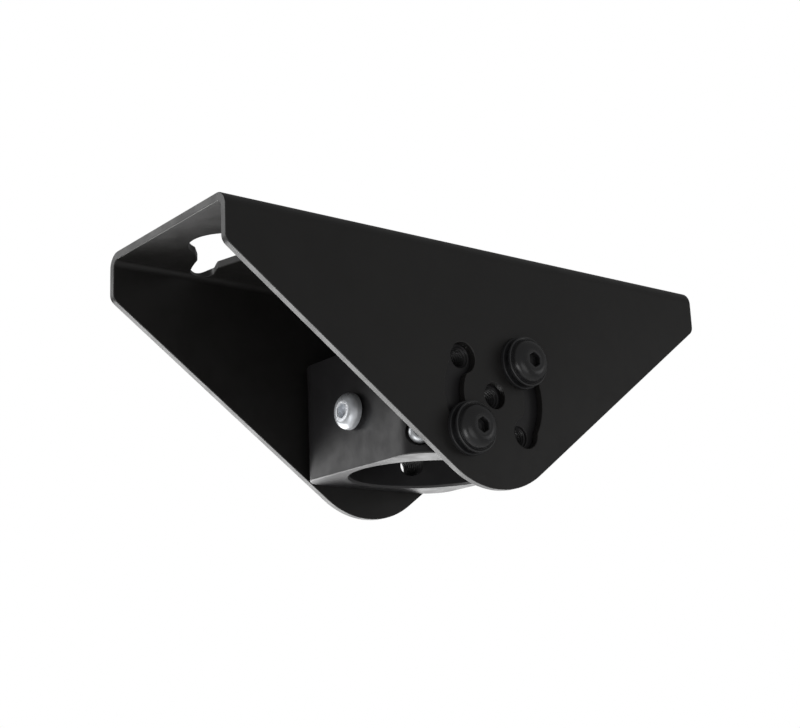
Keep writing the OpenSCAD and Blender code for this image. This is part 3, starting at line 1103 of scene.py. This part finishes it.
@dataclass
class ButtonScrew:
    """Domed screw with a hexagon socket and a cut thread, flanged or plain.

    The point of its seat is in the plane of the head's underside.
    """

    node: str
    seat: Seat
    thread_l: float
    thread_d: float = 8.0
    pitch: float = 1.25
    head_d: float = 14.0
    head_h: float = 4.6
    socket_af: float = 5.0
    flange_d: float = 0.0
    flange_t: float = 0.0
    chamfer: float = 0.8
    neck: float = 0.8
    crown: float = 0.5
    floor_share: float = 0.4
    dome_start: float = 78.0
    dome_end: float = 8.0
    dome_steps: int = 9
    cone_depth: float = 0.45
    cone_share: float = 0.55
    cone_rise: float = 0.1
    mouth_depth: float = 0.35
    mouth_w: float = 0.22
    mouth_drop: float = 0.02
    mouth_hexagon: float = 0.9
    crown_edge: float = 0.52
    flange_gap: float = 0.1
    flange_fall: float = 0.25
    flange_round: float = 0.4
    thread_cut: float = 0.45
    flank_gain: float = 1.35
    crest_loss: float = 0.15
    # Lighter rings at the rim and at the socket's mouth: wear and a painted highlight.
    thread_wear_and_sheen: float = 0.2
    rim_inset: float = 0.25
    rim_wear_and_sheen_band: float = 0.5
    mouth_wear_and_sheen_band: float = 0.3
    mouth_level: float = 0.8
    turn_steps: int = 9
    rounds: int = 72

    def head(self) -> Array:
        """Section of the head from the socket's middle to the thread under it.

        The dome follows a quarter of an ellipse from the rim to the crown.

        Returns:
            Radius, height and hexagon share of each point.
        """
        top, apothem, rim = self.head_h, self.socket_af / 2, self.head_d / 2
        floor, thread_r = top * self.floor_share, self.thread_d / 2
        lean = np.radians(np.linspace(self.dome_start, self.dome_end, self.dome_steps))
        low = self.flange_t if self.flange_t else top / 4
        wide = rim * (self.crown + (1 - self.crown) * np.cos(lean))
        dome = np.stack([wide, low + (top - low) * np.sin(lean), np.zeros(len(lean))], axis=1)
        corners = [
            (0, floor - self.cone_depth, 0),
            (self.cone_share * apothem, floor - self.cone_rise, 0),
            (apothem, floor, 1),
            (apothem, top - self.mouth_depth, 1),
            (apothem + self.mouth_w, top - self.mouth_drop, self.mouth_hexagon),
            (rim * self.crown_edge, top, 0),
            *dome,
        ]
        reach = [0, 0.1, 0.12, 0.1, 0.1, 0.15, *[0] * len(dome)]
        if self.flange_t:
            edge = self.flange_d / 2
            under = low - self.flange_fall
            corners += [(rim + self.flange_gap, under, 0), (edge - self.flange_round, low, 0)]
            corners += [(edge, under, 0), (edge, 0, 0)]
            reach += [0.15, 0.2, 0.12, 0.2]
        else:
            corners += [(rim, 0, 0)]
            reach += [0.3]
        corners += [(thread_r, 0, 0), (thread_r, -self.neck, 0)]
        reach += [0.3, 0]
        return filleted(corners, reach)

    def shank(self, turns: Array) -> Array:
        """Points of the thread.

        The radius falls from the crest by the thread's depth times a clipped triangle wave
        of the height over the pitch less the bearing's share of a turn.

        Args:
            turns: Bearings of the points in a ring, in radians.

        Returns:
            Grid of points from under the head to the tip's chamfer.
        """
        length = self.thread_l - self.neck - self.chamfer
        count = max(12, int(length / self.pitch * self.turn_steps))
        height = -self.neck - np.linspace(0, length, count)
        wave = thread_wave(height, self.pitch, turns[:, None], self.flank_gain, self.crest_loss)
        past = np.minimum(-self.neck - height, height + self.neck + length)
        fade = np.clip(past / self.pitch, 0, 1)
        depth = self.thread_cut * self.pitch * wave * fade
        ring = self.seat.ring(turns)[:, None] * (self.thread_d / 2 - depth)[..., None]
        return self.seat.point + ring + self.seat.axis * height[:, None]

    def build(self) -> bpy.types.Object:
        """Turn the head, cut the thread and close the tip.

        Returns:
            The screw's mesh object.
        """
        turns = np.linspace(0, 2 * math.pi, self.rounds, endpoint=False)
        thread_r, end = self.thread_d / 2, -self.thread_l
        solid = Solid()
        head = self.head()
        widest = max(self.flange_d, self.head_d) / 2
        # Painted highlight: a lighter ring at the head's rim and round the socket's mouth, with wear there
        # too.
        exposed = band(head[:, 0], widest - self.rim_inset, self.rim_wear_and_sheen_band)
        mouth = band(head[:, 0], self.socket_af / 2 + self.rim_inset, self.mouth_wear_and_sheen_band)
        exposed = np.maximum(exposed, mouth * (head[:, 1] > self.head_h * self.mouth_level))
        solid.grid(self.seat.revolve(head, turns), flip=True, wear=exposed)
        solid.grid(self.shank(turns), flip=True, wear=self.thread_wear_and_sheen)
        tip = np.array([(thread_r, end + self.chamfer, 0), (thread_r - self.chamfer, end, 0)])
        solid.grid(self.seat.revolve(tip, turns), flip=True)
        flat = np.array([(thread_r - self.chamfer, end, 0), (0, end, 0)])
        solid.grid(self.seat.revolve(flat, turns), flip=True)
        return solid.build(self.node.replace("screw", "button_screw"))


@dataclass
class Washer:
    """What every washer has: its node, its seat and its sizes."""

    node: str
    seat: Seat
    outer_d: float
    bore_r: float
    thickness: float

    def section(self, rounding: tuple[float, ...]) -> Array:
        """Rounded rectangle, from the middle of the outward face round to it again.

        Args:
            rounding: Reach of the rounding at each corner, with the outward outer one second.

        Returns:
            Points of the section.
        """
        outer, inner, top = self.outer_d / 2, self.bore_r, self.thickness
        middle = ((outer + inner) / 2, top, 0)
        corners = [middle, (outer, top, 0), (outer, 0, 0), (inner, 0, 0), (inner, top, 0), middle]
        return filleted(corners, rounding)


@dataclass
class FlatWasher(Washer):
    """Stamped washer, rounded over on its outward side and sharp on the other."""

    rounding: tuple[float, ...] = (0, 0.42, 0.14, 0.14, 0.3, 0)
    # Lighter ring at the outer rim: wear and a painted highlight.
    rim_inset: float = 0.15
    rim_wear_and_sheen_band: float = 0.5
    rounds: int = 96

    def build(self) -> bpy.types.Object:
        """Turn the washer's section.

        Returns:
            The washer's mesh object.
        """
        section = self.section(self.rounding)
        turns = np.linspace(0, 2 * math.pi, self.rounds, endpoint=False)
        solid = Solid()
        # Painted highlight and wear on the outer rim.
        exposed = band(section[:, 0], self.outer_d / 2 - self.rim_inset, self.rim_wear_and_sheen_band)
        solid.grid(self.seat.revolve(section, turns), flip=True, wear=exposed)
        return solid.build(self.node.replace("washer", "washer_ring"))


@dataclass
class LockWasher(Washer):
    """Split spring washer: a square wire carried round one turn, with slanted ends."""

    split: float = 1.2
    slant: float = 25.0
    rounding: tuple[float, ...] = (0, 0.3, 0.3, 0.25, 0.25, 0)
    rounds: int = 97

    def build(self) -> bpy.types.Object:
        """Carry the wire's section round and close its ends.

        A point's bearing is its share of the turn, moved by its height times the tangent of
        the ends' slant over the middle radius.

        Returns:
            The washer's mesh object.
        """
        middle = (self.outer_d / 2 + self.bore_r) / 2
        section = self.section(self.rounding)[:-1]
        side, across, axis = self.seat.frame()
        gap = self.split / 2 / middle
        start = math.atan2(across[0], side[0])
        share = np.linspace(gap, 2 * math.pi - gap, self.rounds)
        shift = (section[:, 1] - self.thickness / 2) * math.tan(math.radians(self.slant)) / middle
        ring = self.seat.ring(share[None] + shift[:, None] + start)
        wire = self.seat.point + ring * section[:, 0, None, None] + axis * section[:, 1, None, None]
        solid = Solid()
        solid.grid(wire)
        count = len(section)
        number = np.arange(count)
        fan = np.stack([np.full(count, count), number, (number + 1) % count], axis=1)
        for end, sign in ((0, -1), (-1, 1)):
            hub = wire[:, end].mean(axis=0)
            facing = unit(wire[:, -1 if sign > 0 else 0] - wire[:, -2 if sign > 0 else 1]).mean(axis=0)
            rim = np.vstack([wire[:, end], hub])
            # The slanted ends take the full edge colour: a painted highlight and wear.
            solid.patch(rim, np.tile(unit(facing), (count + 1, 1)), fan, 1.0)
        return solid.build(self.node.replace("washer", "washer_spring"))


@dataclass
class Fasteners:
    """Every screw and washer, seated where the frame holds its node."""

    collar: PoleCollar
    head_h: float = 4.6
    washer_gap: float = 0.3
    standoff: float = 1.4
    tip_setback: float = 0.2
    tilt_head_d: float = 16.5
    tilt_flange_t: float = 1.1
    lock_head_d: float = 8.5
    lock_head_h: float = 2.8
    lock_thread_d: float = 5.0
    lock_pitch: float = 0.8
    lock_socket_af: float = 3.0

    def across(self, node: str, side: int) -> tuple[Seat, float, float]:
        """Seat, diameter and depth of a node that lies across the bracket.

        Args:
            node: Name of the node.
            side: -1 at the near cheek, 1 at the far one.

        Returns:
            A seat on the node's inner face, its diameter and its depth along the axis.
        """
        low, high = (np.array(corner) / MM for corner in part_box(node))
        point = (low + high) / 2
        point[1] = low[1] if side > 0 else high[1]
        return Seat(point, np.array([0.0, float(side), 0.0])), high[0] - low[0], high[1] - low[1]

    def tilt_set(self, name: str, side: int) -> list[bpy.types.Object]:
        """Build one tilt screw with its two washers.

        Args:
            name: Name of the station, such as near_upper.
            side: -1 at the near cheek, 1 at the far one.

        Returns:
            The screw, the flat washer and the lock washer.
        """
        seat, flange_d, depth = self.across(f"{name}_tilt_screw", side)
        thread_l = depth - self.head_h
        seat.point = seat.point + seat.axis * thread_l
        screw = ButtonScrew(
            f"{name}_tilt_screw", seat, thread_l,
            head_d=self.tilt_head_d, flange_d=flange_d, flange_t=self.tilt_flange_t,
        )
        bore_r = screw.thread_d / 2 + self.washer_gap
        made = [screw]
        kinds = {f"{name}_flat_washer": FlatWasher, f"{name}_lock_washer": LockWasher}
        for node, kind in kinds.items():
            washer_seat, outer_d, thickness = self.across(node, side)
            made.append(kind(node, washer_seat, outer_d, bore_r, thickness))
        return [piece.build() for piece in made]

    def towards_pole(self, bearing: float, drop: float, face: float) -> tuple[Seat, float]:
        """Seat and thread length of a screw that points at the bore's axis.

        Args:
            bearing: Bearing of the screw about the bore's axis, in degrees.
            drop: Height of the screw below the collar's middle.
            face: Distance of the face under its head from the bore's axis.

        Returns:
            The seat, clear of that face, and the thread's length.
        """
        reach = face + self.standoff
        place = np.append(polar(reach, bearing), self.collar.middle_z - drop)
        seat = Seat(place, np.append(polar(1, bearing), 0.0))
        return seat, reach - self.collar.bore_r - self.tip_setback

    def pole_screws(self) -> list[bpy.types.Object]:
        """Build the clamp screws and the corner lock screw.

        Returns:
            Front clamp screw, rear clamp screw and lock screw.
        """
        block = self.collar
        made = []
        for name, bearing in (("front", 180), ("rear", 0)):
            place = self.towards_pole(bearing, block.clamp_drop, block.half_l)
            made.append(ButtonScrew(f"{name}_clamp_screw", *place))
        made.append(ButtonScrew(
            "lock_screw", *self.towards_pole(block.lock_bearing, block.lock_drop, block.pocket_floor),
            thread_d=self.lock_thread_d, pitch=self.lock_pitch, head_d=self.lock_head_d,
            head_h=self.lock_head_h, socket_af=self.lock_socket_af,
        ))
        return [screw.build() for screw in made]


class Graph:
    """Adds shader nodes to a tree and joins them."""

    def __init__(self, tree: bpy.types.NodeTree) -> None:
        """Keep the tree."""
        self.tree = tree

    def add(self, kind: str, settings: dict | None = None, **sockets: object) -> bpy.types.Node:
        """Add a node.

        Args:
            kind: The node's type.
            settings: Properties of the node.
            sockets: Input values, or output sockets to link, by input name with underscores.

        Returns:
            The new node.
        """
        node = self.tree.nodes.new(kind)
        for key, value in (settings or {}).items():
            setattr(node, key, value)
        for key, value in sockets.items():
            socket = node.inputs[int(key[1:])] if key[0] == "_" else node.inputs[key.replace("_", " ")]
            if isinstance(value, bpy.types.NodeSocket):
                self.tree.links.new(value, socket)
            else:
                socket.default_value = value
        return node

    def group(self, tree: bpy.types.NodeTree, **sockets: object) -> bpy.types.NodeOutputs:
        """Place a node group with its own values and return its outputs."""
        return self.add("ShaderNodeGroup", {"node_tree": tree}, **sockets).outputs

    def maths(self, operation: str, first: object, second: object = 0.0) -> bpy.types.NodeSocket:
        """Add a clamped Math node and return its output."""
        settings = {"operation": operation, "use_clamp": True}
        return self.add("ShaderNodeMath", settings, _0=first, _1=second).outputs[0]

    def ramp(self, value: object, low: object, high: float) -> bpy.types.NodeSocket:
        """Map a value smoothly from 0 at low to 1 at high and return the result."""
        settings = {"interpolation_type": "SMOOTHSTEP"}
        return self.add("ShaderNodeMapRange", settings, Value=value, From_Min=low, From_Max=high).outputs[0]

    def noise(self, vector: object, size_mm: float, detail: float = 2.0) -> bpy.types.NodeSocket:
        """Add a noise whose features are about a size in millimetres and return its value."""
        scale = 1 / (size_mm * MM)
        return self.add("ShaderNodeTexNoise", None, Vector=vector, Scale=scale, Detail=detail).outputs["Fac"]

    def mix(self, share: object, first: object, second: object) -> bpy.types.NodeSocket:
        """Mix two colours by a share and return the result."""
        node = self.add("ShaderNodeMix", {"data_type": "RGBA"}, _0=share, _6=first, _7=second)
        return node.outputs[2]


def new_group(
    name: str, inputs: dict[str, float], outputs: list[str]
) -> tuple[bpy.types.NodeTree, Graph]:
    """Start a shader node group.

    Args:
        name: The group's name.
        inputs: Default value of each input.
        outputs: Name of each output.

    Returns:
        The group and a graph to fill it with.
    """
    tree = bpy.data.node_groups.new(name, "ShaderNodeTree")
    for key, value in inputs.items():
        socket = tree.interface.new_socket(key, in_out="INPUT", socket_type="NodeSocketFloat")
        socket.default_value = value
    for key in outputs:
        tree.interface.new_socket(key, in_out="OUTPUT", socket_type="NodeSocketFloat")
    return tree, Graph(tree)


def coat_grain_group() -> bpy.types.NodeTree:
    """Grain of a baked powder coat: orange peel, fine tooth and slow changes of gloss.

    Returns:
        A group with the outputs Height, Gloss and Cloud.
    """
    tree, graph = new_group("coat_grain", {"Peel": 0.6, "Tooth": 0.4}, ["Height", "Gloss", "Cloud"])
    given = graph.add("NodeGroupInput").outputs
    place = graph.add("ShaderNodeTexCoord").outputs["Object"]
    peel = graph.maths("MULTIPLY", graph.noise(place, size_mm=1.6, detail=1.5), given["Peel"])
    tooth = graph.maths("MULTIPLY", graph.noise(place, size_mm=0.32, detail=3.0), given["Tooth"])
    out = graph.add("NodeGroupOutput").inputs
    tree.links.new(graph.maths("ADD", peel, tooth), out["Height"])
    gloss = graph.noise(place, size_mm=7.0, detail=4.0)
    cloud = graph.noise(place, size_mm=42.0, detail=3.0)
    tree.links.new(graph.ramp(gloss, low=0.3, high=0.7), out["Gloss"])
    tree.links.new(graph.ramp(cloud, low=0.25, high=0.75), out["Cloud"])
    return tree


def edge_wear_and_sheen_group() -> bpy.types.NodeTree:
    """Rubbed coat along exposed edges, broken up by noise, and a lighter band along every edge: partly a
    thin coat, partly a painted highlight.

    Returns:
        A group with the outputs Mask, for rubbed spots, and a second one for the edge as a whole: a thin
        coat and a painted highlight.
    """
    tree, graph = new_group("edge_wear_and_sheen", {"Exposure": 0.0, "Amount": 0.3}, ["Mask", "ThinAndSheen"])
    given = graph.add("NodeGroupInput").outputs
    place = graph.add("ShaderNodeTexCoord").outputs["Object"]
    broken = graph.maths("MULTIPLY", graph.noise(place, size_mm=2.4, detail=5.0), given["Exposure"])
    start = graph.maths("SUBTRACT", 0.78, graph.maths("MULTIPLY", given["Amount"], 0.5))
    out = graph.add("NodeGroupOutput").inputs
    tree.links.new(graph.ramp(broken, low=start, high=0.85), out["Mask"])
    tree.links.new(graph.ramp(given["Exposure"], low=0.1, high=0.9), out["ThinAndSheen"])
    return tree


def dust_group() -> bpy.types.NodeTree:
    """Sparse pale specks of dust on a dark surface.

    Returns:
        A group with the output Mask.
    """
    tree, graph = new_group("fine_dust", {"Amount": 0.5}, ["Mask"])
    given = graph.add("NodeGroupInput").outputs
    place = graph.add("ShaderNodeTexCoord").outputs["Object"]
    spacing = 1.8 * MM
    cell = graph.add("ShaderNodeTexVoronoi", None, Vector=place, Scale=1 / spacing, Randomness=1.0)
    near = graph.maths("SUBTRACT", 1.0, graph.ramp(cell.outputs["Distance"], low=0.02, high=0.07))
    chosen = graph.ramp(graph.noise(place, size_mm=5.0, detail=2.0), low=0.58, high=0.66)
    speck = graph.maths("MULTIPLY", graph.maths("MULTIPLY", near, chosen), given["Amount"])
    tree.links.new(speck, graph.add("NodeGroupOutput").inputs["Mask"])
    return tree


@dataclass(frozen=True)
class Groups:
    """The shader node groups that the finishes share."""

    grain: bpy.types.NodeTree
    wear: bpy.types.NodeTree
    dust: bpy.types.NodeTree


@dataclass(frozen=True)
class Finish:
    """A surface finish: colours, gloss, grain, dust, and how edges show in it, as wear and as a painted
    highlight.
    """

    slot: Slot
    colour: tuple[float, float, float]
    cloud: tuple[float, float, float]
    # The edge colour is a thinner coat on rounded edges and a painted highlight where edges catch the light.
    edge: tuple[float, float, float]
    worn: tuple[float, float, float]
    metallic: float
    roughness: tuple[float, float]
    peel: float
    tooth: float
    bump_mm: float
    wear: float = 0.3
    dust: float = 0.3
    coat: float = 0.0
    coat_roughness: float = 0.25
    # Share of the edge colour on exposed edges, which paints a highlight there along with the thin coat.
    thin_and_sheen_share: float = 0.7

    def material(self, groups: Groups) -> bpy.types.Material:
        """Build the material.

        Args:
            groups: The shared node groups.

        Returns:
            A material named after the slot.
        """
        made = bpy.data.materials.new(self.slot.value)
        made.use_nodes = True
        tree = made.node_tree
        tree.nodes.clear()
        graph = Graph(tree)
        exposure = graph.add("ShaderNodeAttribute", {"attribute_name": "wear"}).outputs["Fac"]
        grain = graph.group(groups.grain, Peel=self.peel, Tooth=self.tooth)
        wear = graph.group(groups.wear, Exposure=exposure, Amount=self.wear)
        dust = graph.group(groups.dust, Amount=self.dust)
        colours = [(*c, 1.0) for c in (self.colour, self.cloud, self.edge, self.worn)]
        base = graph.mix(grain["Cloud"], colours[0], colours[1])
        # Painted highlight: exposed edges take the lighter edge colour, partly for a thin coat.
        base = graph.mix(graph.maths("MULTIPLY", wear["ThinAndSheen"], self.thin_and_sheen_share), base, colours[2])
        base = graph.mix(wear["Mask"], base, colours[3])
        base = graph.mix(dust["Mask"], base, DUST_COLOUR)
        gloss = graph.add("ShaderNodeMapRange", None, Value=grain["Gloss"], To_Min=self.roughness[0],
                          To_Max=self.roughness[1])
        relief = self.bump_mm * MM
        bump = graph.add("ShaderNodeBump", None, Strength=1.0, Distance=relief, Height=grain["Height"])
        shader = graph.add("ShaderNodeBsdfPrincipled", None, Base_Color=base, Roughness=gloss.outputs[0],
                           Normal=bump.outputs[0], Metallic=self.metallic, Coat_Weight=self.coat,
                           Coat_Roughness=self.coat_roughness)
        out = graph.add("ShaderNodeOutputMaterial")
        tree.links.new(shader.outputs[0], out.inputs[0])
        return made


FINISHES = [
    Finish(
        Slot.BRACKET,
        colour=(0.017, 0.0162, 0.0155), cloud=(0.021, 0.0202, 0.0194),
        edge=(0.05, 0.049, 0.048), worn=(0.09, 0.088, 0.086),
        metallic=0.0, roughness=(0.36, 0.46), peel=0.55, tooth=0.45, bump_mm=0.012, wear=0.15, dust=0.25,
    ),
    Finish(
        Slot.COLLAR,
        colour=(0.02, 0.0193, 0.0205), cloud=(0.025, 0.0243, 0.0257),
        edge=(0.05, 0.049, 0.05), worn=(0.1, 0.098, 0.095),
        metallic=0.0, roughness=(0.36, 0.46), peel=0.6, tooth=0.4, bump_mm=0.01, wear=0.2, dust=0.3,
    ),
    Finish(
        Slot.BLACK_WASHER,
        # Black washer: its own dark colour, made darker still as painted shade between the screw heads and
        # the cheeks.
        colour=(0.012, 0.012, 0.013), cloud=(0.018, 0.018, 0.019),
        edge=(0.03, 0.03, 0.032), worn=(0.12, 0.12, 0.12),
        metallic=0.0, roughness=(0.32, 0.5), peel=0.3, tooth=0.7, bump_mm=0.01, wear=0.4, dust=0.2,
    ),
    Finish(
        Slot.ZINC_WASHER,
        colour=(0.62, 0.63, 0.66), cloud=(0.72, 0.73, 0.75),
        edge=(0.7, 0.71, 0.74), worn=(0.8, 0.8, 0.82),
        metallic=1.0, roughness=(0.22, 0.38), peel=0.3, tooth=0.7, bump_mm=0.008, wear=0.3, dust=0.0,
    ),
    Finish(
        Slot.BLACK_SCREW,
        colour=(0.014, 0.014, 0.015), cloud=(0.02, 0.02, 0.021),
        edge=(0.045, 0.045, 0.047), worn=(0.16, 0.16, 0.165),
        metallic=0.0, roughness=(0.24, 0.36), peel=0.35, tooth=0.65, bump_mm=0.008,
        wear=0.45, dust=0.2, coat=0.3,
    ),
    Finish(
        Slot.ZINC_SCREW,
        colour=(0.8, 0.83, 0.87), cloud=(0.88, 0.9, 0.93),
        edge=(0.88, 0.9, 0.92), worn=(0.9, 0.91, 0.93),
        metallic=0.6, roughness=(0.24, 0.5), peel=0.5, tooth=0.5, bump_mm=0.04, wear=0.3, dust=0.0,
    ),
]


@dataclass(frozen=True)
class Softbox:
    """A square area light that faces the mount."""

    name: str
    place: tuple[float, float, float]
    size: float
    power: float

    def hang(self, target: Vector) -> None:
        """Put the light up, unseen by the camera.

        Args:
            target: Point that the light is turned to.
        """
        lamp = bpy.data.lights.new(self.name, "AREA")
        lamp.shape = "SQUARE"
        lamp.size = self.size
        lamp.energy = self.power
        made = bpy.data.objects.new(self.name, lamp)
        made.location = self.place
        made.rotation_euler = (target - Vector(self.place)).to_track_quat("-Z", "Y").to_euler()
        made.visible_camera = False
        bpy.context.scene.collection.objects.link(made)


@dataclass
class Studio:
    """Pale floor, soft lights, white surround and the camera of the photograph."""

    position: tuple[float, float, float] = (-0.35194, -0.42674, -0.17619)
    yaw: float = 38.58
    pitch: float = 14.17
    roll: float = -2.43
    lens: float = 65.17
    sensor: float = 36.0
    near_clip: float = 0.01
    aim: tuple[float, float, float] = (0.0, 0.0, -0.04)
    floor_z: float = -1.1
    floor_reach: float = 8.0
    floor_lines: int = 9
    floor_colour: tuple[float, float, float, float] = (0.82, 0.82, 0.82, 1.0)
    floor_roughness: float = 0.7
    surround: float = 0.2
    boxes: tuple[Softbox, ...] = (
        Softbox("backdrop_glow", (0.3, 1.3, -0.75), 2.0, 28.0),
        Softbox("far_left", (-0.95, 1.25, 0.4), 1.0, 6.0),
        Softbox("near_fill", (-0.3, -1.6, -0.9), 1.4, 4.5),
        Softbox("below_back", (-0.1, 1.0, -0.83), 0.9, 10.0),
        Softbox("front_right", (1.15, -0.9, -0.05), 0.4, 0.5),
        Softbox("left_low", (-1.0, -0.2, -0.75), 0.7, 3.0),
    )

    def camera(self) -> None:
        """Set up the camera: yaw from the bracket's far side, pitch upwards, then roll."""
        yaw, pitch, roll = (math.radians(a) for a in (self.yaw, self.pitch, self.roll))
        ahead = Vector((math.sin(yaw) * math.cos(pitch), math.cos(yaw) * math.cos(pitch), math.sin(pitch)))
        level = Vector((math.cos(yaw), -math.sin(yaw), 0))
        upright = level.cross(ahead)
        right = level * math.cos(roll) + upright * math.sin(roll)
        top = upright * math.cos(roll) - level * math.sin(roll)
        data = bpy.data.cameras.new("camera")
        data.lens = self.lens
        data.sensor_width = self.sensor
        data.clip_start = self.near_clip
        made = bpy.data.objects.new("camera", data)
        turn = Matrix((right, top, -ahead)).transposed().to_4x4()
        made.matrix_world = Matrix.Translation(self.position) @ turn
        bpy.context.scene.collection.objects.link(made)
        bpy.context.scene.camera = made

    def floor(self) -> None:
        """Lay a wide pale floor well below the mount."""
        count = self.floor_lines
        line = np.linspace(-self.floor_reach, self.floor_reach, count)
        x, y = np.meshgrid(line, line, indexing="ij")
        number = np.arange(count * count).reshape(count, count)
        faces = np.stack([number[:-1, :-1], number[1:, :-1], number[1:, 1:], number[:-1, 1:]], axis=-1)
        mesh = bpy.data.meshes.new("floor")
        points = np.stack([x.ravel(), y.ravel(), np.full(x.size, self.floor_z)], axis=1)
        mesh.from_pydata(points.tolist(), [], faces.reshape(-1, 4).tolist())
        made = bpy.data.objects.new("floor", mesh)
        paint = bpy.data.materials.new("floor_paint")
        paint.use_nodes = True
        shader = paint.node_tree.nodes["Principled BSDF"]
        shader.inputs["Base Color"].default_value = self.floor_colour
        shader.inputs["Roughness"].default_value = self.floor_roughness
        mesh.materials.append(paint)
        bpy.context.scene.collection.objects.link(made)

    def world(self) -> None:
        """Surround the mount with white for the camera and a dim grey for everything else."""
        world = bpy.data.worlds.new("surround")
        world.use_nodes = True
        world.node_tree.nodes.clear()
        graph = Graph(world.node_tree)
        seen = graph.add("ShaderNodeLightPath").outputs["Is Camera Ray"]
        strength = graph.add("ShaderNodeMapRange", None, Value=seen, To_Min=self.surround, To_Max=1.0)
        white = (1.0, 1.0, 1.0, 1.0)
        glow = graph.add("ShaderNodeBackground", None, Color=white, Strength=strength.outputs[0])
        out = graph.add("ShaderNodeOutputWorld")
        world.node_tree.links.new(glow.outputs[0], out.inputs[0])
        bpy.context.scene.world = world

    def build(self) -> None:
        """Set up camera, floor, surround and lights."""
        self.camera()
        self.floor()
        self.world()
        for box in self.boxes:
            box.hang(Vector(self.aim))
        bpy.context.scene.view_settings.view_transform = "Standard"


def dress(piece: bpy.types.Object, node: str, materials: dict[str, bpy.types.Material]) -> None:
    """Stand a piece in for its CAD node, on the same body and in the same finish.

    Args:
        piece: The new piece.
        node: Name of the node that it replaces.
        materials: The materials by slot name.
    """
    record = frame["record"]
    body = next(name for name, nodes in record["behaviour"]["bodies"].items() if node in nodes)
    slot = next(part["material_slot"] for part in record["subparts"] if part["node"] == node)
    piece.data.materials.append(materials[slot])
    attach(piece, body)
    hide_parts(node)
    count = len(piece.data.polygons)
    log.info("%s stands for %s on %s, %d triangles", piece.name, node, body, count)


def main() -> None:
    """Build the studio and the mount's pieces in order and report each one."""
    logging.basicConfig(level=logging.INFO, format="%(message)s")
    Studio().build()
    groups = Groups(coat_grain_group(), edge_wear_and_sheen_group(), dust_group())
    materials = {finish.slot.value: finish.material(groups) for finish in FINISHES}
    collar = PoleCollar()
    dress(CeilingBracket().build(), "ceiling_bracket", materials)
    dress(collar.build(), "pole_collar", materials)
    fasteners = Fasteners(collar)
    for name, side in (("near_upper", -1), ("near_lower", -1), ("far_upper", 1), ("far_lower", 1)):
        nodes = (f"{name}_tilt_screw", f"{name}_flat_washer", f"{name}_lock_washer")
        for piece, node in zip(fasteners.tilt_set(name, side), nodes):
            dress(piece, node, materials)
    nodes = ("front_clamp_screw", "rear_clamp_screw", "lock_screw")
    for piece, node in zip(fasteners.pole_screws(), nodes):
        dress(piece, node, materials)


if __name__ == "__main__":
    main()
